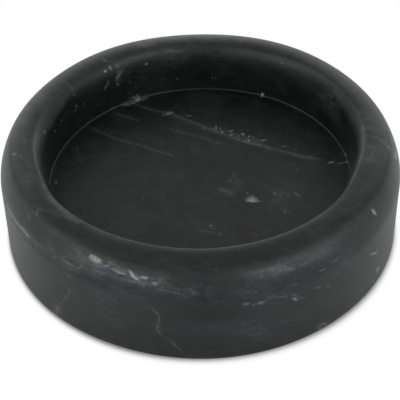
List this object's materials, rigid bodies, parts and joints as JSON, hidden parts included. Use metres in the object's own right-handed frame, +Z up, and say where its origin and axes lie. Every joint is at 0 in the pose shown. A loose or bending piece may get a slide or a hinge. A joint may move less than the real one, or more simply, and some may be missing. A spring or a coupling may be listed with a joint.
{
  "type": "marble catch-all dish",
  "caption": "Round, heavy catch-all turned from one block of black veined marble, with a flat-floored bowl, a fat rounded rim and felt pads under its flat base.",
  "frame": {"origin": "on the dish's axis, on the surface that the pads stand on", "axes": "+Z up along the dish's axis; -Y towards the side that the picture was taken from"},
  "size_m": [0.178, 0.178, 0.0504],
  "materials": {
    "black_marble": "honed",
    "charcoal_felt": "matte"
  },
  "bodies": {
    "root": {"marble_dish": "black_marble", "pad_front_left": "charcoal_felt", "pad_front_right": "charcoal_felt", "pad_rear_right": "charcoal_felt", "pad_rear_left": "charcoal_felt"}
  },
  "joints": []
}
